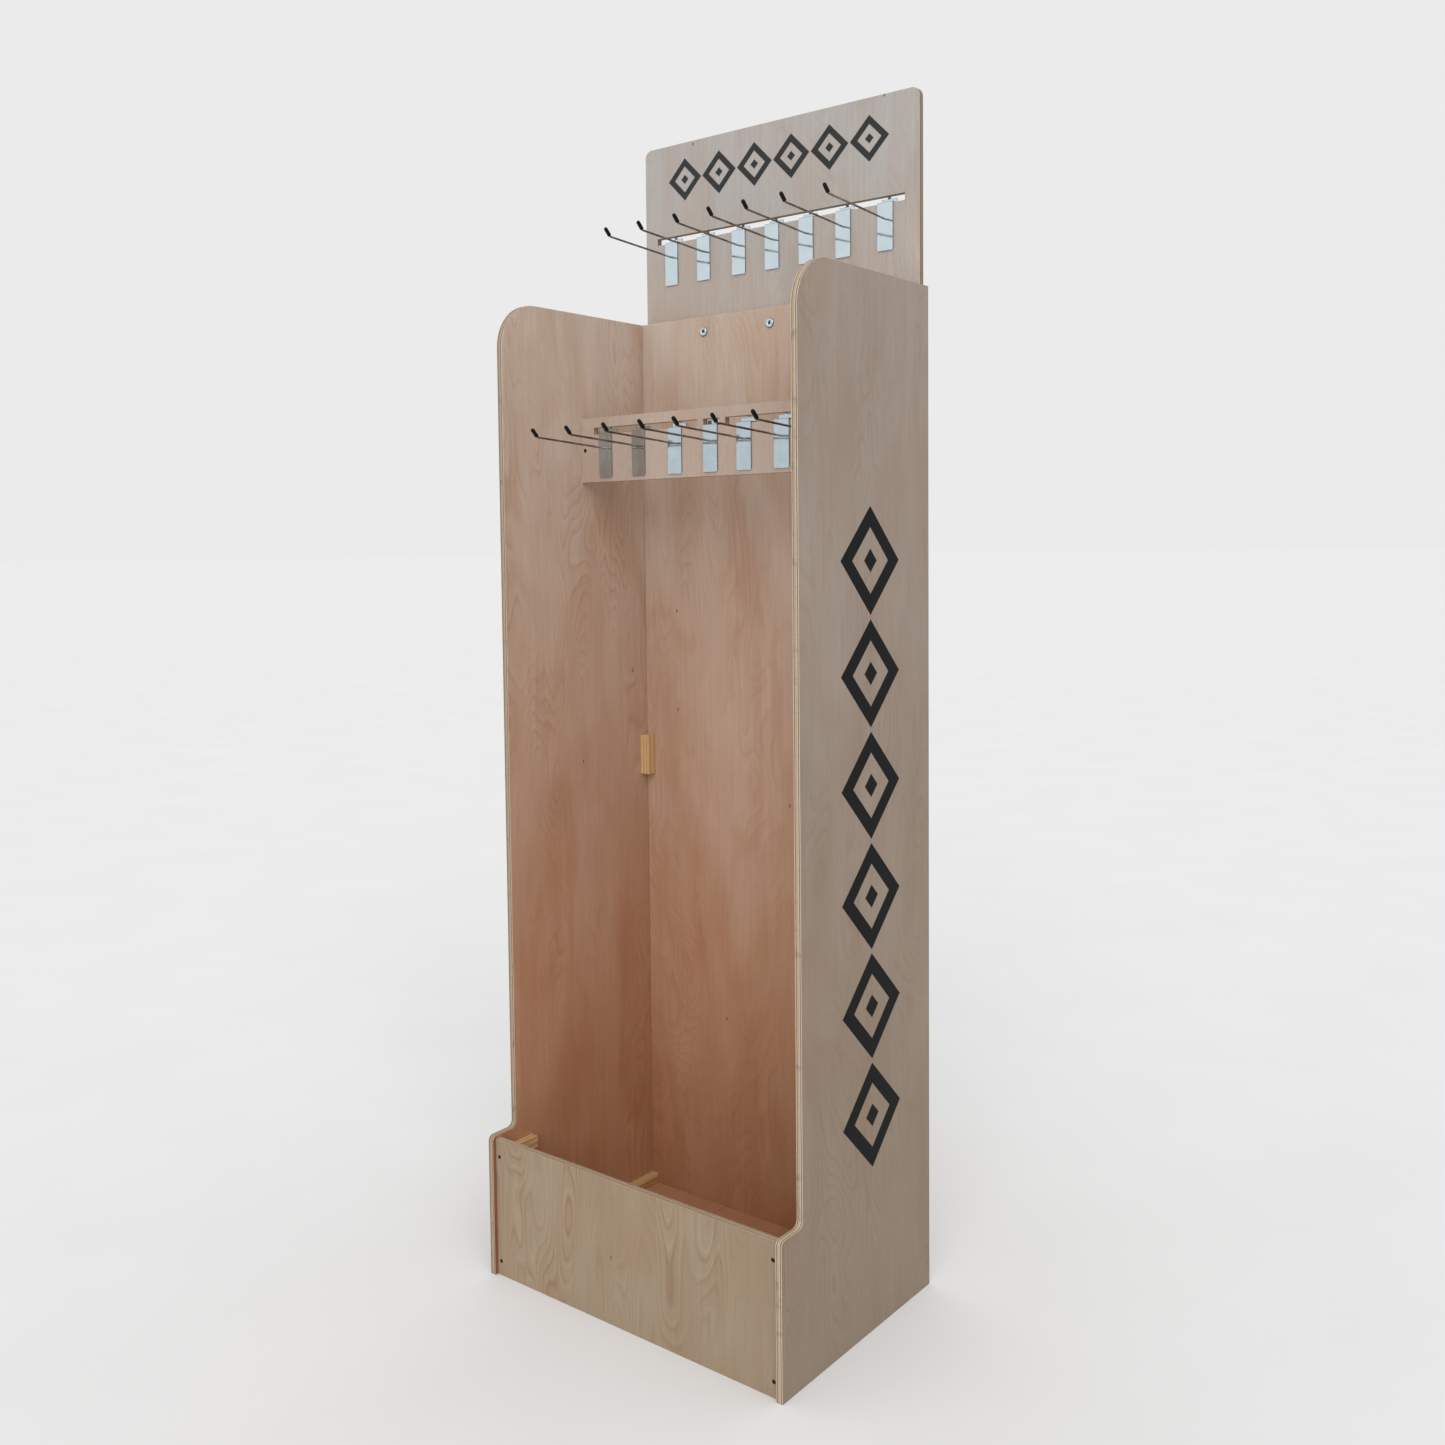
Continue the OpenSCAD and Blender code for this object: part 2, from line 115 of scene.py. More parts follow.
def veneer(name, top, foot, across, shift, figure=1.0, knots=0.0, reach=(0.0, 1.68),
           flush="#f8eae0", margin=None):
    """Peeled hardwood veneer, sanded and bare: faint figure, fine fibres, short pores, matt.

    top and foot are the sheet's colours at its upper and lower end; on the inner faces the
    redder, darker foot is partly the wood's own tone and partly painted shade low in the
    trough. flush tints its warm patches. across is the board's wide axis, and shift picks
    another stretch of the same log. In front of margin the wood is darkened and reddened
    as painted shade beside the front panel.
    """
    material, tree, shader, place = new_material(name)
    xyz = add(tree, "SeparateXYZ", {}, place)
    wide = add(tree, "Math", "ADD", xyz.outputs[across], shift)
    high = add(tree, "Math", "ADD", xyz.outputs["Z"], shift * 1.7)
    sheet = add(tree, "CombineXYZ", {}, wide, high, shift)

    def grain(width, length, detail, distortion=0.0, roughness=0.5):
        """Noise stretched along the board to a feature width and length in metres."""
        size = add(tree, "VectorMath", "MULTIPLY", sheet, (1 / width, 1 / length, 1))
        return add(tree, "TexNoise", Vector=size, Scale=1.0, Detail=detail,
                   Roughness=roughness, Distortion=distortion)

    # Pin knots, 1 to 3 mm, with a short dark tail, that push the rings round them
    knot_cells = 7.5
    squeezed = add(tree, "VectorMath", "MULTIPLY", sheet, (1, 0.55, 1))
    cells = add(tree, "TexVoronoi", {"voronoi_dimensions": "2D"}, Vector=squeezed,
                Scale=knot_cells, Randomness=1.0)
    off = add(tree, "Math", "DIVIDE", cells.outputs["Distance"], knot_cells)
    luck = add(tree, "SeparateXYZ", {}, cells.outputs["Color"])
    chosen = add(tree, "Math", "GREATER_THAN", luck, 1 - knots)
    fade = add(tree, "Math", "POWER", natural_base,
               add(tree, "Math", "MULTIPLY", off, -70.0))
    near = add(tree, "Math", "MULTIPLY", fade, chosen)
    core = add(tree, "MapRange", smooth, off, 0.0010, 0.0026, 1.0, 0.0)
    knot = add(tree, "Math", "MULTIPLY", core, chosen)

    # The slow swirl of a peeled trunk, cut into growth lines 8 to 25 mm apart
    swirl = grain(0.15, 0.60, 2.0, 0.30)
    slow = add(tree, "Math", "MULTIPLY_ADD", near, 0.05, swirl)
    growth_lines = 34.0
    turns = add(tree, "Math", "FRACT", add(tree, "Math", "MULTIPLY", slow, growth_lines))
    dark_line = add(tree, "Math", "MULTIPLY",
                    add(tree, "MapRange", smooth, turns, 0.62, 0.90),
                    add(tree, "MapRange", smooth, turns, 0.90, 1.0, 1.0, 0.0))
    pale_line = add(tree, "Math", "MULTIPLY",
                    add(tree, "MapRange", smooth, turns, 0.04, 0.14),
                    add(tree, "MapRange", smooth, turns, 0.14, 0.40, 1.0, 0.0))
    drift = add(tree, "MapRange", smooth, grain(0.09, 0.35, 2.0), 0.36, 0.66)
    faint = add(tree, "Math", "MULTIPLY", drift, figure)
    # Fibres and pores, in truth a fifth of a millimetre wide, are drawn wider so that they show
    fibre = grain(0.0042, 0.17, 4.0, 0.15, 0.6)
    flecks = add(tree, "MapRange", smooth, grain(0.0016, 0.012, 2.0), 0.60, 0.74)
    cloud = grain(0.13, 0.34, 3.0, 0.5)

    # How far each pattern lightens or darkens the wood
    shade = add(tree, "Math", "MULTIPLY_ADD",
                add(tree, "Math", "MULTIPLY", pale_line, faint), 0.07, 0.77)
    for pattern, weight in ((fibre, 0.30), (cloud, 0.16), (flecks, -0.10)):
        shade = add(tree, "Math", "MULTIPLY_ADD", pattern, weight, shade)

    # The sheet's two ends blend over reach, along a border that wanders by the clouds
    rise = add(tree, "Math", "MULTIPLY_ADD", cloud, 0.9,
               add(tree, "Math", "SUBTRACT", xyz.outputs["Z"], 0.45))
    wood = add(tree, "Mix", mixed, add(tree, "MapRange", smooth, rise, *reach),
               linear(foot), linear(top))
    warm = add(tree, "MapRange", smooth, grain(0.10, 0.34, 3.0, 1.2), 0.36, 0.72, 0.0, 0.60)
    wood = add(tree, "Mix", tinted, warm, wood, linear(flush))
    late = add(tree, "Math", "MULTIPLY", add(tree, "Math", "MULTIPLY", dark_line, faint), 0.30)
    wood = add(tree, "Mix", tinted, late, wood, linear("#ddc3ae"))
    wood = add(tree, "Mix", tinted, 1.0, wood,
               add(tree, "CombineXYZ", {}, shade, shade, shade))
    wood = add(tree, "Mix", mixed, add(tree, "Math", "MULTIPLY", knot, 0.7), wood,
               linear("#4a3122"))
    # Painted shade: in front of margin, beside the front panel, the wood is darkened and reddened.
    if margin is not None:
        painted_front_shade = add(tree, "MapRange", smooth, xyz.outputs["Y"], margin, margin + 0.006, 0.9, 0.0)
        wood = add(tree, "Mix", tinted, painted_front_shade, wood, linear("#c3a292"))
    relief = add(tree, "Math", "MULTIPLY_ADD", flecks, -0.8, fibre)
    feed(shader, Base_Color=wood, Specular_IOR_Level=0.35,
         Roughness=add(tree, "Math", "MULTIPLY_ADD", fibre, 0.22, 0.54),
         Normal=add(tree, "Bump", Strength=0.5, Distance=0.0001, Height=relief))
    return material


def ply_edge(name, axis, start, painted_edge_light=1.0):
    """Sawn plywood edge: pale long-grain plies between dark end-grain ones, dry and matt.

    The plies are counted along axis from start. The last argument scales the whole edge's
    brightness as painted light and shade: above 1 it is lit brighter, below 1 it is darkened.
    """
    material, tree, shader, place = new_material(name)
    waver = add(tree, "TexNoise", Vector=place, Scale=9.0, Detail=3.0)
    depth = add(tree, "Math", "SUBTRACT",
                add(tree, "SeparateXYZ", {}, place).outputs[axis], start)
    through = add(tree, "Math", "ADD", add(tree, "Math", "DIVIDE", depth, board_thickness),
                  add(tree, "Math", "MULTIPLY_ADD", waver, 0.10, -0.05))
    pale, dark, tan, grey = "#c3b29c", "#75614d", "#ab9780", "#9b8c79"
    layers = add(tree, "ValToRGB", {"stops": [
        (0.00, pale), (0.12, pale), (0.155, dark), (0.25, dark), (0.29, tan),
        (0.43, tan), (0.46, grey), (0.54, grey), (0.57, pale), (0.71, tan),
        (0.745, dark), (0.84, dark), (0.88, pale), (1.00, pale)]}, through)
    # Saw marks and torn fibres, drawn about 3 mm long so that they show
    torn = add(tree, "TexNoise", Vector=place, Scale=330.0, Detail=3.0)
    patch = add(tree, "TexNoise", Vector=place, Scale=42.0, Detail=2.0)
    gaps = add(tree, "MapRange", {}, patch, 0.60, 0.72, 0.0, 0.30)
    shade = add(tree, "Math", "SUBTRACT",
                add(tree, "Math", "MULTIPLY_ADD", torn, 0.5, 0.78), gaps)
    # Painted light and shade: the last argument brightens the whole edge above 1 and darkens it
    # below 1.
    shade = add(tree, "Math", "MULTIPLY", shade, painted_edge_light)
    colour = add(tree, "Mix", tinted, 1.0, layers,
                 add(tree, "CombineXYZ", {}, shade, shade, shade))
    feed(shader, Base_Color=colour, Roughness=0.8,
         Normal=add(tree, "Bump", Strength=0.6, Distance=0.0002, Height=torn))
    return material


def new_object(name, data):
    """A new object in the scene."""
    piece = bpy.data.objects.new(name, data)
    bpy.context.scene.collection.objects.link(piece)
    return piece


def merged_copy(node):
    """A CAD part's surface as a bmesh with its doubled corners merged."""
    work = bmesh.new()
    work.from_mesh(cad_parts[node].data)
    bmesh.ops.remove_doubles(work, verts=work.verts, dist=weld_distance)
    return work


def dressed_object(name, work, materials):
    """Ends a bmesh as an object: flat faces shaded flat, round walls shaded smooth."""
    mesh = bpy.data.meshes.new(name)
    work.to_mesh(mesh)
    work.free()
    if "custom_normal" in mesh.attributes:
        mesh.attributes.remove(mesh.attributes["custom_normal"])
    for material in materials:
        mesh.materials.append(material)
    mesh.set_sharp_from_angle(angle=math.radians(24))
    mesh.polygons.foreach_set("use_smooth", [
        max(abs(v) for v in face.normal) < 0.9999 for face in mesh.polygons])
    return new_object(name, mesh)


def board(node, name, materials, axis, arris=0.0005):
    """A merged copy of a CAD board with a narrow chamfer sanded round its broad faces.

    materials are those of the face on the low side of axis, of the one on its high side
    and of the edges.
    """
    work = merged_copy(node)
    for face in work.faces:
        face.material_index = 2
    for number, way in enumerate((-1, 1)):
        surface = max(v.co[axis] * way for v in work.verts) - weld_distance
        broad = [face for face in work.faces if face.normal[axis] * way > 0.999
                 and face.calc_center_median()[axis] * way > surface]
        kept, rims, inward = set(broad), [], {}
        for face in broad:
            for loop in face.loops:
                if any(other not in kept for other in loop.edge.link_faces):
                    first, second = loop.vert, loop.link_loop_next.vert
                    rims.append((first, second))
                    aside = face.normal.cross((second.co - first.co).normalized())
                    for v in (first, second):
                        inward.setdefault(v, []).append(aside)
        # A chamfer takes at most 0.4 of the shortest edge that runs down from its corner
        planed, cuts = {}, {}
        for v in inward:
            drops = [abs(line.other_vert(v).co[axis] - v.co[axis]) for line in v.link_edges]
            cuts[v] = min(arris, 0.4 * min(drop for drop in drops if drop > weld_distance))
        for v, ways in inward.items():
            total = sum(ways, Vector())
            aside = total * (cuts[v] * len(ways) / total.length_squared)
            planed[v] = work.verts.new(v.co + aside)
            v.co[axis] -= way * cuts[v]
        for face in broad:
            corners = [planed.get(v, v) for v in face.verts]
            work.faces.new(corners).material_index = number
        for first, second in rims:
            corners = [planed[second], planed[first], first, second]
            work.faces.new(corners).material_index = number
        bmesh.ops.delete(work, geom=broad, context="FACES")
    return dressed_object(name, work, materials)


def fit(piece, body, slot, *nodes):
    """Rides a finished piece on its body, in place of its CAD nodes."""
    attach(piece, body)
    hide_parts(*nodes)


def low_corner(node):
    """A node's lowest corner."""
    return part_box(node)[0]


# The inner faces are redder than the outer ones and darkest at the foot: partly the wood's own
# tone, partly painted shade and warm light bounced inside the trough.
outside_top, outside_foot = "#9a8c81", "#8d7d6c"
inside_top, inside_foot = "#c7b6a8", "#b98b6b"
inside_flush = "#eedccb"
inside_reach, outside_reach = (0.15, 1.80), (0.20, 1.80)
# The last number for each side brightens or darkens its sawn edge as painted light and shade.
for side, shift, painted_edge_light in (("left", 0.37, 0.90), ("right", 2.9, 1.12)):
    inside = veneer(f"sanded_veneer_{side}_inside", inside_top, inside_foot, "Y", shift,
                    knots=0.1, reach=inside_reach, flush=inside_flush,
                    margin=low_corner("front_panel").y)
    outside = veneer(f"sanded_veneer_{side}_outside", outside_top, outside_foot, "Y",
                     shift + 5.3, figure=0.7, reach=outside_reach)
    edge = ply_edge(f"sawn_ply_edge_{side}", "X", low_corner(f"{side}_side_panel").x, painted_edge_light)
    faces = [outside, inside] if side == "left" else [inside, outside]
    panel = board(f"{side}_side_panel", f"{side}_side_board", faces + [edge], 0)
    fit(panel, "stand", "plywood", f"{side}_side_panel")

# ---- Back panel ----
# One sheet of the same plywood, 600 by 1680 mm, standing between the side panels and
# flush with their rear edges. It is drilled for the three header bolts.

# The back's inner face takes the same inner tones, with the same painted shade at the foot.
back_veneer = veneer("sanded_veneer_back", inside_top, inside_foot, "X", 14.6, figure=0.7,
                     knots=0.35, reach=inside_reach, flush=inside_flush)
rear_veneer = veneer("sanded_veneer_rear", outside_top, outside_foot, "X", 9.1, figure=0.8,
                     knots=0.2)
back_edge = ply_edge("sawn_ply_edge_back", "Y", low_corner("back_panel").y)
back = board("back_panel", "back_board", [back_veneer, rear_veneer, back_edge], 1,
             arris=0.0012)
fit(back, "stand", "plywood", "back_panel")

# ---- Base panel, cleats and corner blocks ----
# The floor of the trough is plywood on two long cleats. Short pine blocks hold the
# corners; all are sawn from planed knot-free pine, glued and screwed from outside.

# The base takes the inner foot tone throughout, partly painted shade low in the trough.
base_veneer = veneer("sanded_veneer_base", inside_foot, inside_foot, "X", 12.2)
base_edge = ply_edge("sawn_ply_edge_base", "Z", low_corner("base_panel").z)
base = board("base_panel", "base_board", [base_veneer, base_veneer, base_edge], 2)
fit(base, "stand", "plywood", "base_panel")


def pine(name, along):
    """Planed pine: straight yellow growth rings about 3 mm apart, satin, with end grain."""
    material, tree, shader, place = new_material(name)
    stretch = [1.0, 1.0, 1.0]
    stretch["XYZ".index(along)] = 0.035
    fibres = add(tree, "VectorMath", "MULTIPLY", place, stretch)
    bend = add(tree, "TexNoise", Vector=fibres, Scale=28.0, Detail=2.0)
    bent = add(tree, "VectorMath", "MULTIPLY_ADD", bend, (0.010, 0.010, 0.010), fibres)
    rings = add(tree, "TexWave",
                {"wave_type": "RINGS", "rings_direction": along, "wave_profile": "SAW"},
                Vector=bent, Scale=48.0, Distortion=0.6, Detail=1.0)
    streak = add(tree, "TexNoise", Vector=fibres, Scale=700.0, Detail=3.0)
    tone = add(tree, "Math", "MULTIPLY_ADD", streak, 0.7,
               add(tree, "Math", "MULTIPLY_ADD", rings.outputs["Fac"], 0.7, -0.2))
    wood = add(tree, "ValToRGB", {"stops": [
        (0.1, "#dcbe92"), (0.55, "#cfab7a"), (0.95, "#ab7a48")]}, tone)
    feed(shader, Base_Color=wood, Roughness=0.55,
         Normal=add(tree, "Bump", Strength=0.5, Distance=0.0001, Height=streak))
    return material


def machined(node, name, materials, pick, arris):
    """A merged copy of a CAD part with its sharp edges just broken.

    pick(face) gives the number of the material that a face takes. The rims of drilled
    holes stay crisp.
    """
    work = merged_copy(node)
    weight = work.edges.layers.float.new("bevel_weight_edge")
    for face in work.faces:
        face.material_index = pick(face)
    for line in work.edges:
        sharp = len(line.link_faces) == 2 and line.calc_face_angle() > math.radians(30)
        line[weight] = 1.0 if sharp and line.calc_length() > 0.0006 else 0.0
    piece = dressed_object(name, work, materials)
    edge = piece.modifiers.new("arris", "BEVEL")
    edge.width = arris
    edge.segments = 2
    edge.limit_method = "WEIGHT"
    edge.use_clamp_overlap = False
    edge.harden_normals = True
    return piece


pine_upright, pine_level = pine("planed_pine_upright", "Z"), pine("planed_pine_level", "Y")
for node, wood in (("corner_blocks", pine_upright), ("base_cleats", pine_level),
                   ("front_cleats", pine_level), ("rail_cleats", pine_upright)):
    block = machined(node, f"pine_{node}", [wood], lambda face: 0, arris=0.0008)
    fit(block, "stand", "pine", node)

# ---- Front panel ----
# A 240 mm plywood board across the foot of the trough, a little behind the plinth's
# front edges, held by two countersunk screws at each end.

front_veneer = veneer("sanded_veneer_front", "#9f8d76", "#9f8d76", "X", 3.62, figure=1.7,
                      knots=0.3)
front_edge = ply_edge("sawn_ply_edge_front", "Y", low_corner("front_panel").y)
front = board("front_panel", "front_board", [front_veneer, front_veneer, front_edge], 1)
fit(front, "stand", "plywood", "front_panel")

# ---- Hook rail ----
# A plywood rail 115 mm high between the side panels, with two long hook slots and a
# short middle one routed through it near its top edge.

rail_veneer = veneer("sanded_veneer_rail", "#bba99c", "#bba99c", "X", 5.15, figure=0.4)
rail_edge = ply_edge("sawn_ply_edge_rail", "Y", low_corner("hook_rail").y)
rail = board("hook_rail", "hook_rail_board", [rail_veneer, rail_veneer, rail_edge], 1)
fit(rail, "stand", "plywood", "hook_rail")

# ---- Header panel ----
# The plywood header stands on the back panel's rear face, lapped 55 mm and bolted
# through it. One long hook slot is routed across its middle.

header_veneer = veneer("sanded_veneer_header", "#b1aca7", "#baafa5", "X", 6.3, figure=0.4,
                       knots=0.15, reach=(1.65, 1.95))
# The header's edge is darkened as painted shade.
header_edge = ply_edge("sawn_ply_edge_header", "Y", low_corner("header_panel").y, painted_edge_light=0.62)
header = board("header_panel", "header_board", [header_veneer, header_veneer, header_edge], 1)
fit(header, "stand", "plywood", "header_panel")

# ---- Wood screws ----
# Countersunk cross-head screws of dark steel, 3.5 by 28 mm, driven just below the
# faces of the front panel and the rail, and through the back panel from behind.
# Their near-black brown is partly painted shade of the sunk holes they sit in.

seam_distance = 0.000002


def outward_mesh(name, work):
    """Ends a bmesh as a mesh with its normals outward."""
    bmesh.ops.recalc_face_normals(work, faces=work.faces)
    mesh = bpy.data.meshes.new(name)
    work.to_mesh(mesh)
    work.free()
    return mesh


def turned(name, outline, steps):
    """A closed lathe-turned mesh about +Y, from (distance along Y, radius) points."""
    work = bmesh.new()
    angles = [2 * math.pi * n / steps for n in range(steps)]
    rings = []
    for along, radius in outline:
        spots = [(radius * math.cos(a), along, radius * math.sin(a)) for a in angles]
        rings.append([work.verts.new(spot) for spot in (spots if radius else spots[:1])])
    for first, second in zip(rings, rings[1:]):
        for n in range(steps):
            corners = {first[n % len(first)]: 0, first[(n + 1) % len(first)]: 0,
                       second[(n + 1) % len(second)]: 0, second[n % len(second)]: 0}
            work.faces.new(list(corners))
    mesh = outward_mesh(name, work)
    mesh.polygons.foreach_set("use_smooth", [True] * len(mesh.polygons))
    mesh.set_sharp_from_angle(angle=math.radians(35))
    return mesh


def cross_cutter(name, reach, width, depth):
    """A closed cutter in the shape of a cross-head drive, through the plane Y = 0."""
    quarter = [(reach, -width), (reach, width), (width, width)]
    outline = []
    for n in range(4):
        turn = Matrix.Rotation(n * math.pi / 2, 2)
        outline += [turn @ Vector(corner) for corner in quarter]
    work = bmesh.new()
    rings = [[work.verts.new((x, y, z)) for x, z in outline] for y in (-depth, depth)]
    for ring in rings:
        work.faces.new(ring)
    for n in range(len(outline)):
        work.faces.new([rings[0][n - 1], rings[0][n], rings[1][n], rings[1][n - 1]])
    return outward_mesh(name, work)


def node_tree(name, inputs):
    """A geometry tree with named inputs; returns the tree, its inputs and its output node."""
    tree = bpy.data.node_groups.new(name, "GeometryNodeTree")
    for label, kind in {"Geometry": "Geometry", **inputs}.items():
        tree.interface.new_socket(label, in_out="INPUT", socket_type="NodeSocket" + kind)
    tree.interface.new_socket("Geometry", in_out="OUTPUT", socket_type="NodeSocketGeometry")
    return tree, add(tree, "NodeGroupInput").outputs, add(tree, "NodeGroupOutput")


def end_tree(tree, geometry, finish, output):
    """Ends a tree in plain geometry with its material."""
    plain = add(tree, "GeometryNodeRealizeInstances", Geometry=geometry)
    feed(output, add(tree, "GeometryNodeSetMaterial", Geometry=plain, Material=finish))


def grow(name, tree, points, **settings):
    """Runs a tree on loose points and keeps the result as one plain mesh object."""
    mesh = bpy.data.meshes.new(name)
    mesh.from_pydata([tuple(p) for p in points], [], [])
    piece = new_object(name, mesh)
    step = piece.modifiers.new("grow", "NODES")
    step.node_group = tree
    for socket in tree.interface.items_tree:
        key = socket.name.replace(" ", "_")
        if socket.in_out == "INPUT" and key in settings:
            step[socket.identifier] = settings[key]
    graph = bpy.context.evaluated_depsgraph_get()
    result = bpy.data.meshes.new_from_object(
        piece.evaluated_get(graph), preserve_all_data_layers=True, depsgraph=graph)
    piece.modifiers.remove(step)
    work = bmesh.new()
    work.from_mesh(result)
    bmesh.ops.remove_doubles(work, verts=work.verts, dist=seam_distance)
    bmesh.ops.recalc_face_normals(work, faces=work.faces)
    work.to_mesh(result)
    work.free()
    result.name = name
    piece.data = result
    return piece


# Sets one part at every point, with its drive cut out and turned by chance about its axis
fastener_tree, given, out = node_tree("set_fasteners", {
    "Part": "Object", "Drive": "Object", "Turn": "Vector", "Seed": "Int",
    "Finish": "Material"})
part = add(fastener_tree, "GeometryNodeObjectInfo", Object=given["Part"])
drive = add(fastener_tree, "GeometryNodeObjectInfo", Object=given["Drive"])
cut = add(fastener_tree, "GeometryNodeMeshBoolean", "DIFFERENCE",
          part.outputs["Geometry"], [drive.outputs["Geometry"]])
spin = add(fastener_tree, "FunctionNodeRandomValue", {"data_type": "FLOAT_VECTOR"},
           (0, 0, 0), (0, 6.28, 0), Seed=given["Seed"])
turn = add(fastener_tree, "FunctionNodeRotateEuler", {}, spin, given["Turn"])
placed = add(fastener_tree, "GeometryNodeInstanceOnPoints", Points=given["Geometry"],
             Instance=cut, Rotation=turn)
end_tree(fastener_tree, placed, given["Finish"], out)


def fasteners(name, points, part, drive, turn, finish, seed):
    """Grows one set of like parts at points, all facing one way and turned by chance."""
    tools = [new_object("tool", mesh) for mesh in (part, drive)]
    piece = grow(name, fastener_tree, points, Part=tools[0], Drive=tools[1], Turn=turn,
                 Seed=seed, Finish=finish)
    for tool in tools:
        bpy.data.objects.remove(tool)
    return piece


def shaded_screw_steel(name):
    """Dark screw steel with a dull sheen; its near-black brown is partly painted shade of a sunk
    hole.
    """
    material, tree, shader, place = new_material(name)
    patch = add(tree, "TexNoise", Vector=place, Scale=900.0, Detail=3.0)
    colour = add(tree, "ValToRGB", {"stops": [(0.3, "#2a1e17"), (0.7, "#584638")]}, patch)
    feed(shader, Base_Color=colour, Metallic=1.0,
         Roughness=add(tree, "Math", "MULTIPLY_ADD", patch, 0.3, 0.3))
    return material


screw_steel = shaded_screw_steel("browned_screw_steel")
head_r, shank_r, screw_length, point_length = 0.0035, 0.00175, 0.028, 0.005
screw = turned("screw", [
    (0, 0), (0, head_r), (0.0002, head_r), (head_r - shank_r, shank_r),
    (screw_length - point_length, shank_r), (screw_length, 0.0003), (screw_length, 0)], 24)
cross = cross_cutter("cross", 0.0021, 0.00045, 0.0012)
from_front, from_behind = (0, 0, 0), (0, 0, math.pi)

low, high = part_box("front_screws")
corners = [Vector((x, low.y, z)) for x in (low.x + head_r, high.x - head_r)
           for z in (low.z + head_r, high.z - head_r)]
screws = fasteners("front_wood_screws", corners, screw, cross, from_front, screw_steel, 3)
fit(screws, "stand", "screw_steel", "front_screws")

low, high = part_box("rail_screws")
corners = [Vector((x, low.y, (low.z + high.z) / 2)) for x in (low.x + head_r, high.x - head_r)]
screws = fasteners("rail_wood_screws", corners, screw, cross, from_front, screw_steel, 8)
fit(screws, "stand", "screw_steel", "rail_screws")

low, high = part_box("back_screws")
block_low, block_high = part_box("corner_blocks")
block_half = (block_low.z + block_high.z) / 2
block_x = block_high.x - (block_high.y - block_low.y) / 2
corners = [Vector((x, high.y, low.z + head_r)) for x in (low.x + head_r, high.x - head_r)]
corners += [Vector((x, high.y, block_half)) for x in (-block_x, block_x)]
screws = fasteners("rear_wood_screws", corners, screw, cross, from_behind, screw_steel, 5)
fit(screws, "stand", "screw_steel", "back_screws")

# ---- Header bolts and sleeve nuts ----
# Three furniture connector bolts with thin flat heads and 5 mm hexagon sockets clamp the
# header to the back panel; each screws into a headed sleeve nut from behind.


def bright_zinc(name, pale, dull, rough, face=None, way=1):
    """Bright zinc plate on steel: bluish white mirror with faint clouding and ripples.

    Behind a fastener's face, in its socket and round its rim, the zinc is darkened as painted
    shade.
    """
    material, tree, shader, place = new_material(name)
    cloud = add(tree, "TexNoise", Vector=place, Scale=60.0, Detail=4.0)
    colour = add(tree, "ValToRGB", {"stops": [(0.35, dull), (0.65, pale)]}, cloud)
    # Painted shade: deeper than the face, in the socket and round the rim, the zinc is darkened.
    if face is not None:
        depth = add(tree, "Math", "SUBTRACT",
                    add(tree, "SeparateXYZ", {}, place).outputs["Y"], face)
        painted_recess_shade = add(tree, "MapRange", {}, add(tree, "Math", "MULTIPLY", depth, way),
                   0.0003, 0.0011)
        colour = add(tree, "Mix", mixed, painted_recess_shade, colour, linear("#30373b"))
    ripple = add(tree, "TexNoise", Vector=place, Scale=45.0, Detail=1.0)
    feed(shader, Base_Color=colour, Metallic=1.0,
         Roughness=add(tree, "Math", "MULTIPLY_ADD", cloud, 0.08, rough),
         Normal=add(tree, "Bump", Strength=0.2, Distance=0.00004, Height=ripple))
    return material


head_r, shank_r, sleeve_r, fillet = 0.0085, 0.003, 0.0043, 0.0005
flat_head = [
    (0, 0), (0, head_r - 0.0018), (0.0002, head_r - 0.0011), (0.0007, head_r - 0.0004),
    (0.0014, head_r), (0.0024, head_r), (0.0025, head_r - 0.0002)]
hexagon = turned("hexagon", [(-0.002, 0), (-0.002, 0.0028), (0.0035, 0.0028), (0.0035, 0)], 6)

low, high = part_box("header_bolts")
bolt_zinc = bright_zinc("bright_zinc_bolts", "#dbeaf3", "#c4d5de", 0.10, low.y)
reach = high.y - low.y
bolt = turned("bolt", flat_head + [
    (0.0025, shank_r), (reach - fillet, shank_r), (reach, shank_r - fillet), (reach, 0)], 48)
corners = [Vector((x, low.y, (low.z + high.z) / 2)) for x in (low.x + head_r, 0, high.x - head_r)]
bolts = fasteners("header_connector_bolts", corners, bolt, hexagon, from_front, bolt_zinc, 11)
fit(bolts, "stand", "zinc_steel", "header_bolts")

low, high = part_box("header_cap_nuts")
nut_zinc = bright_zinc("bright_zinc_sleeve_nuts", "#dbeaf3", "#c4d5de", 0.10, high.y, -1)
reach, bore_end = high.y - low.y, 0.0055
nut = turned("nut", flat_head + [
    (0.0025, sleeve_r), (reach, sleeve_r), (reach, shank_r), (bore_end, shank_r),
    (bore_end, 0)], 48)
corners = [Vector((x, high.y, (low.z + high.z) / 2)) for x in (low.x + head_r, 0, high.x - head_r)]
nuts = fasteners("header_sleeve_nuts", corners, nut, hexagon, from_behind, nut_zinc, 12)
fit(nuts, "stand", "zinc_steel", "header_cap_nuts")

# ---- Printed films ----
# Matt black vinyl, cut by plotter into a row of open diamonds with a small solid one in
# each, and stuck to the header's face and the right side panel.

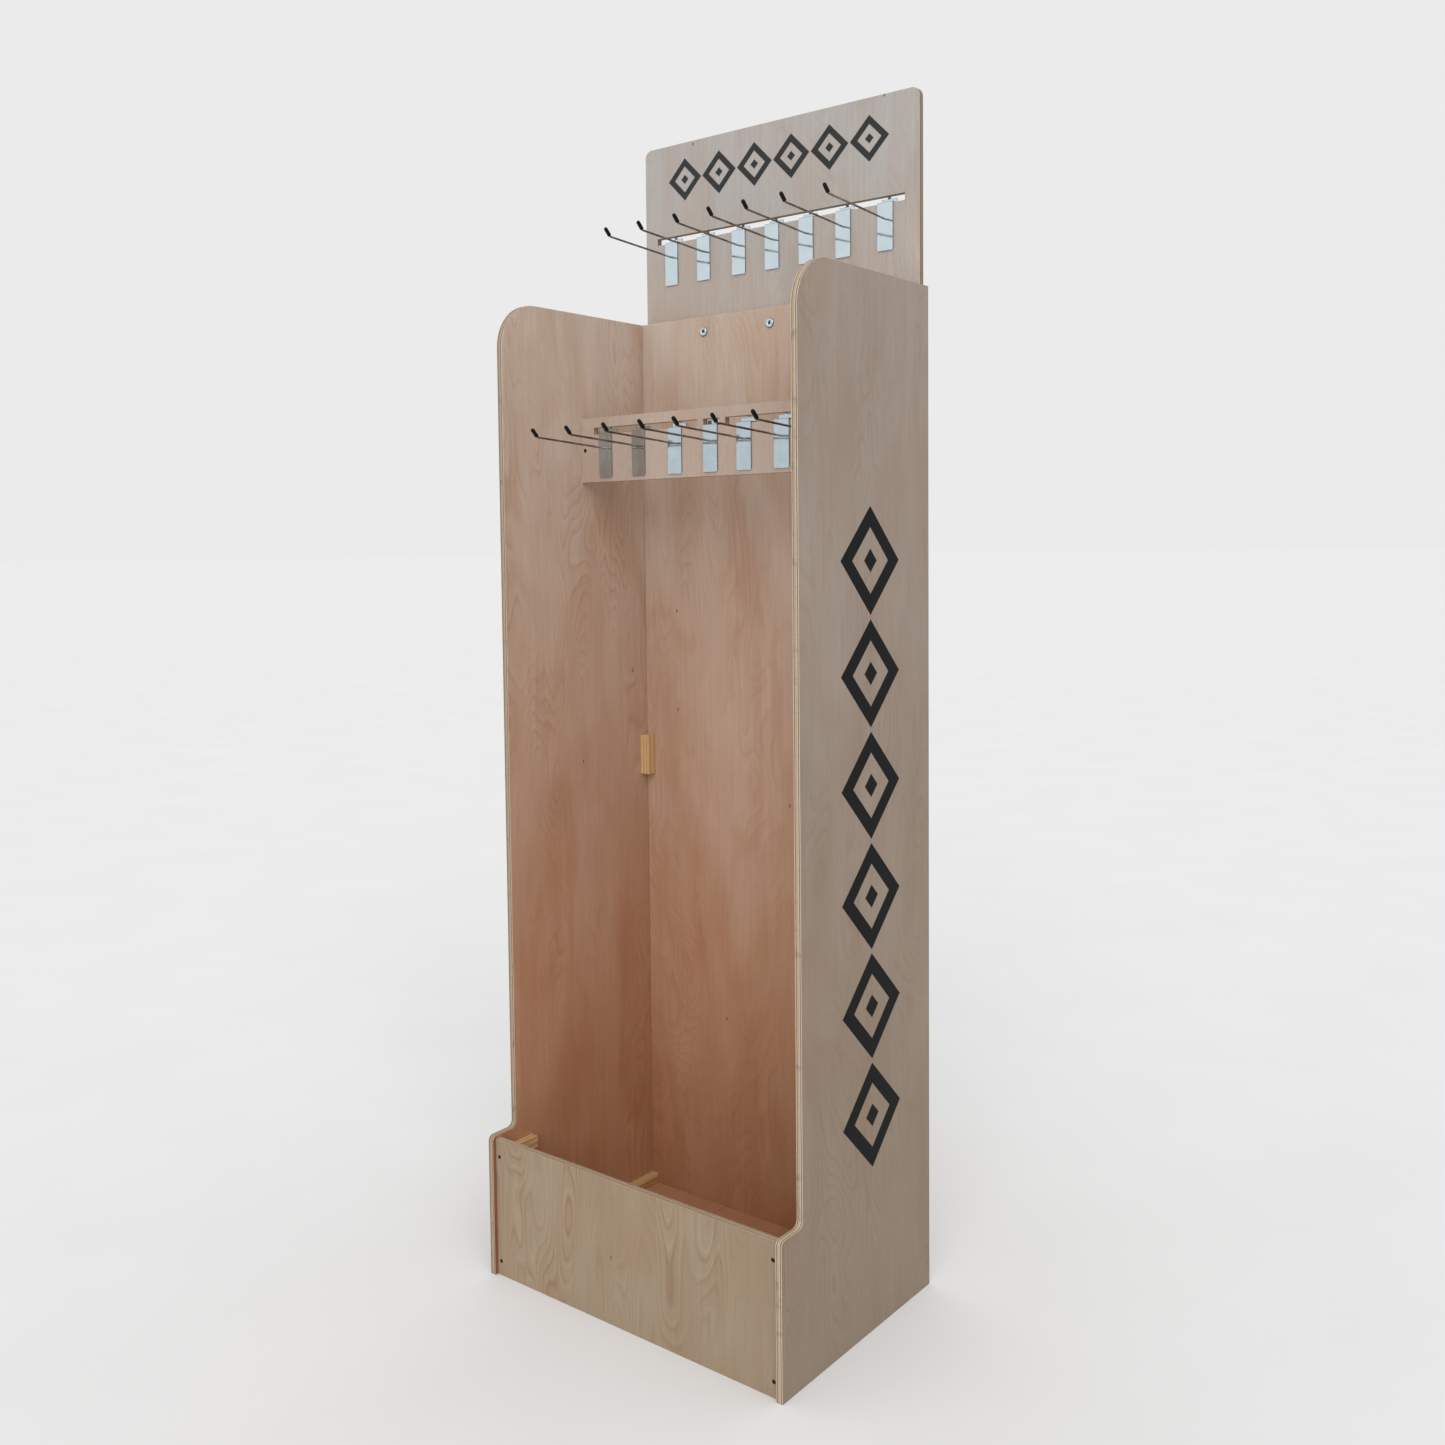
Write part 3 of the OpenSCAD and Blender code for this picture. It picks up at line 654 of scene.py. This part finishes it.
diamond_tree, given, out = node_tree("diamond_row", {
    "Count": "Int", "Pitch": "Float", "Across": "Float", "Stroke": "Float",
    "Thickness": "Float", "Middle": "Vector", "Turn": "Vector", "Finish": "Material"})
side = add(diamond_tree, "Math", "DIVIDE", given["Across"], 2 ** 0.5)
hollow = add(diamond_tree, "Math", "SUBTRACT", side,
             add(diamond_tree, "Math", "MULTIPLY", given["Stroke"], 2.0))
heart = add(diamond_tree, "Math", "MULTIPLY", hollow, 0.35)
squares = [add(diamond_tree, "GeometryNodeCurvePrimitiveQuadrilateral", {}, edge, edge)
           for edge in (side, hollow, heart)]
outline = add(diamond_tree, "GeometryNodeJoinGeometry", {}, squares[:2])
flat = add(diamond_tree, "GeometryNodeJoinGeometry", {}, [
    add(diamond_tree, "GeometryNodeFillCurve", Curve=curve) for curve in (outline, squares[2])])
raised = add(diamond_tree, "GeometryNodeExtrudeMesh", {"mode": "FACES"}, Mesh=flat,
             Offset=(0, 0, 1), Offset_Scale=given["Thickness"], Individual=False)
under = add(diamond_tree, "GeometryNodeFlipFaces", Mesh=flat)
closed = add(diamond_tree, "GeometryNodeJoinGeometry", {}, [raised, under])
diamond = add(diamond_tree, "GeometryNodeTransform", Geometry=closed,
              Rotation=(0, 0, math.pi / 4))
gaps = add(diamond_tree, "Math", "SUBTRACT", given["Count"], 1.0)
length = add(diamond_tree, "Math", "MULTIPLY", given["Pitch"], gaps)
first = add(diamond_tree, "CombineXYZ", X=add(diamond_tree, "Math", "MULTIPLY", length, -0.5))
step = add(diamond_tree, "CombineXYZ", X=given["Pitch"])
line = add(diamond_tree, "GeometryNodeMeshLine", Count=given["Count"], Start_Location=first,
           Offset=step)
row = add(diamond_tree, "GeometryNodeInstanceOnPoints", Points=line, Instance=diamond)
row = add(diamond_tree, "GeometryNodeTransform", Geometry=row, Translation=given["Middle"],
          Rotation=given["Turn"])
end_tree(diamond_tree, row, given["Finish"], out)


def vinyl(name, pale, dark, gloss):
    """Matt black sign vinyl: near-black plastic, softly glossy, with dust specks."""
    material, tree, shader, place = new_material(name)
    dust = add(tree, "TexNoise", Vector=place, Scale=240.0, Detail=4.0)
    colour = add(tree, "ValToRGB", {"stops": [(0.35, dark), (0.7, pale)]}, dust)
    # The grain of the wood below shows faintly through the film
    stretch = add(tree, "VectorMath", "MULTIPLY", place, (320, 320, 12))
    relief = add(tree, "TexNoise", Vector=stretch, Scale=1.0, Detail=2.0)
    feed(shader, Base_Color=colour, IOR=1.5, Specular_IOR_Level=gloss,
         Roughness=add(tree, "Math", "MULTIPLY_ADD", dust, 0.2, 0.38),
         Normal=add(tree, "Bump", Strength=0.5, Distance=0.00006, Height=relief))
    return material


diamonds, stroke_share = 6, 0.13
# Both films are one vinyl; the header's is drawn lighter and glossier than the side's as painted
# light.
for node, name, turn, finish in (
        ("header_graphic", "header_diamonds", Matrix.Rotation(math.pi / 2, 3, "X"),
         vinyl("matt_vinyl_header", "#2b2d2d", "#242626", 0.35)),
        ("side_graphic", "side_diamonds", Matrix(((0, 0, 1), (0, -1, 0), (1, 0, 0))),
         vinyl("matt_vinyl_side", "#0f1011", "#0a0b0b", 0.08))):
    low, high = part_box(node)
    thick, across, run = sorted(high - low)
    middle = (low + high) / 2
    if node == "header_graphic":
        middle.y = high.y
    else:
        middle.x = low.x
    pitch = (run - across) / (diamonds - 1)
    film = grow(name, diamond_tree, [(0, 0, 0)], Count=diamonds, Pitch=pitch, Across=across,
                Stroke=pitch * stroke_share, Thickness=thick, Middle=middle,
                Turn=turn.to_euler(), Finish=finish)
    fit(film, "stand", "black_film", node)

# ---- Display hooks ----
# Fourteen identical hooks: a pressed and folded steel plate whose lip drops behind a
# slot, a 3.5 mm wire prong welded to its face, and a black plastic cap pushed on the
# turned-up tip. Plate and prong are bright zinc plated after welding.

wire_tree, given, out = node_tree("bent_wire", {
    "Weld": "Vector", "Corner": "Vector", "Tip": "Vector", "Bend radius": "Float",
    "Wire radius": "Float", "Fillet": "Float", "Finish": "Material"})
choice = add(wire_tree, "GeometryNodeIndexSwitch", {"data_type": "VECTOR"})
choice.index_switch_items.new()
feed(choice, add(wire_tree, "GeometryNodeInputIndex"), given["Weld"], given["Corner"],
     given["Tip"])
path = add(wire_tree, "GeometryNodeMeshLine", Count=3)
path = add(wire_tree, "GeometryNodeSetPosition", Geometry=path, Position=choice)
path = add(wire_tree, "GeometryNodeMeshToCurve", Mesh=path)
path = add(wire_tree, "GeometryNodeFilletCurve", {"mode": "POLY"}, Curve=path, Count=8,
           Radius=given["Bend radius"])
path = add(wire_tree, "GeometryNodeResampleCurve", {"mode": "LENGTH"}, Curve=path,
           Length=0.0016)
# The wire swells where it meets the plate, as its weld does
travel = add(wire_tree, "GeometryNodeSplineParameter").outputs["Length"]
swell = add(wire_tree, "Math", "POWER", natural_base,
            add(wire_tree, "Math", "MULTIPLY", travel, -750.0))
path = add(wire_tree, "GeometryNodeSetCurveRadius", Curve=path,
           Radius=add(wire_tree, "Math", "MULTIPLY_ADD", swell, given["Fillet"], 1.0))
ring = add(wire_tree, "GeometryNodeCurvePrimitiveCircle", Resolution=14,
           Radius=given["Wire radius"])
wire = add(wire_tree, "GeometryNodeCurveToMesh", Curve=path, Profile_Curve=ring,
           Fill_Caps=True)
wire = add(wire_tree, "GeometryNodeSetShadeSmooth", Geometry=wire)
end_tree(wire_tree, wire, given["Finish"], out)


def sheared(face):
    """Tells a plate's cut edges from its broad faces."""
    return abs(face.normal.x) > 0.99 or face.normal.z < -0.99


def satin_plastic(name):
    """Moulded black polyethylene: soft dark plastic, satin, with a fine handled haze."""
    material, tree, shader, place = new_material(name)
    haze = add(tree, "TexNoise", Vector=place, Scale=500.0, Detail=3.0)
    colour = add(tree, "ValToRGB", {"stops": [(0.3, "#040404"), (0.7, "#0b0b0c")]}, haze)
    feed(shader, Base_Color=colour, IOR=1.51, Specular_IOR_Level=0.2,
         Roughness=add(tree, "Math", "MULTIPLY_ADD", haze, 0.2, 0.25),
         Normal=add(tree, "Bump", Strength=0.4, Distance=0.00004, Height=haze))
    return material


# The rail's plates take a darker zinc than the header's, though all hooks are alike: painted
# shade, down inside the trough.
plate_zinc = {"header": bright_zinc("bright_zinc_header_plates", "#dae8f0", "#d3e2ea", 0.02),
              "rail": bright_zinc("bright_zinc_rail_plates", "#c6d4dc", "#bccbd3", 0.02)}
# The cut edges are darker partly as duller sheared steel and partly as painted shade along the
# plates' sides and underside.
edge_zinc = bright_zinc("bright_zinc_sheared_edges", "#8f9aa0", "#6f787d", 0.22)
# The wire's dark brownish grey is painted reflection of a dim room and the brown wood round it,
# not the zinc's own colour.
wire_zinc = bright_zinc("bright_zinc_wire", "#958c83", "#655d55", 0.10)
cap_plastic = satin_plastic("moulded_black_plastic")
wire_r, bend_r, run_slope, tip_slope = 0.00175, 0.006, math.radians(3.4), math.radians(45)
run, tip, plate_height, prong_drop = 0.166, 0.014, 0.080, 0.028
half_bend = bend_r * math.tan((tip_slope - run_slope) / 2)
outward = Vector((0, -math.cos(run_slope), math.sin(run_slope)))
upward = Vector((0, -math.cos(tip_slope), math.sin(tip_slope)))
cap_r, cap_length = 0.0034, 0.017
dome = [(cap_length - cap_r + cap_r * math.sin(a), cap_r * math.cos(a))
        for a in (math.radians(d) for d in (20, 38, 54, 68, 80))]
cap = turned("cap", [
    (0, 0), (0, wire_r), (0, cap_r - 0.0003), (0.0003, cap_r), (0.0012, cap_r),
    (0.0135, cap_r)] + dome + [(cap_length, 0)], 24)
no_drive = bpy.data.meshes.new("no_drive")
for row in ("header", "rail"):
    for n in range(1, 8):
        body = f"{row}_hook_{n}"
        low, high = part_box(f"{row}_plate_{n}")
        plate = machined(f"{row}_plate_{n}", f"{body}_plate", [plate_zinc[row], edge_zinc],
                         sheared, arris=0.0002)
        fit(plate, body, "zinc_steel", f"{row}_plate_{n}")

        weld = Vector(((low.x + high.x) / 2, low.y, low.z + plate_height - prong_drop))
        corner = weld + outward * (run + half_bend)
        cap_start = corner + upward * half_bend
        prong = grow(f"{body}_prong", wire_tree, [(0, 0, 0)], Weld=weld, Corner=corner,
                     Tip=cap_start + upward * tip, Bend_radius=bend_r, Wire_radius=wire_r,
                     Fillet=0.35, Finish=wire_zinc)
        fit(prong, body, "zinc_steel", f"{row}_prong_{n}")

        end = fasteners(f"{body}_cap", [cap_start], cap, no_drive,
                        (math.pi - tip_slope, 0, 0), cap_plastic, n)
        fit(end, body, "black_plastic", f"{row}_cap_{n}")

# ---- Floor, light and camera ----
# A plain pale floor under a bright even room, with one broad soft lamp far off at the
# front right, so that floor and backdrop keep one tone.

far = 400.0
floor_mesh = bpy.data.meshes.new("floor")
floor_mesh.from_pydata([(-far, -far, 0), (far, -far, 0), (far, far, 0), (-far, far, 0)],
                       [], [(0, 1, 2, 3)])
paper, tree, shader, place = new_material("pale_floor")
speck = add(tree, "TexNoise", Vector=place, Scale=3.0, Detail=2.0)
colour = add(tree, "ValToRGB", {"stops": [(0.3, "#e9e9e9"), (0.7, "#ebebeb")]}, speck)
feed(shader, Base_Color=colour, Roughness=0.9, Specular_IOR_Level=0.0)
floor_mesh.materials.append(paper)
new_object("floor", floor_mesh)

world = bpy.data.worlds.new("bright_room")
world.use_nodes = True
feed(world.node_tree.nodes["Background"], Color=linear("#ebebeb"))
bpy.context.scene.world = world
lamp = bpy.data.lights.new("soft_lamp", "SUN")
lamp.energy = 1.0
lamp.angle = math.radians(50)
lamp_side = Vector((0.50, -0.62, 0.60))
new_object("soft_lamp", lamp).rotation_euler = lamp_side.to_track_quat("Z", "Y").to_euler()

eye = bpy.data.cameras.new("eye")
eye.lens, eye.sensor_width = 34.91526, 36
eye.shift_x, eye.shift_y = 0.00673, -0.06185
eye_place = Vector((1.47307, -1.83332, 1.25268))
turn, tilt, roll = math.radians(38.41), math.radians(-3.39), math.radians(0.59)
camera = new_object("camera", eye)
camera.matrix_world = (
    Matrix.Translation(eye_place) @ Matrix.Rotation(turn, 4, "Z")
    @ Matrix.Rotation(tilt, 4, "X") @ Matrix.Rotation(roll, 4, "Y")
    @ Matrix.Rotation(math.pi / 2, 4, "X"))
bpy.context.scene.camera = camera
bpy.context.scene.view_settings.view_transform = "Standard"
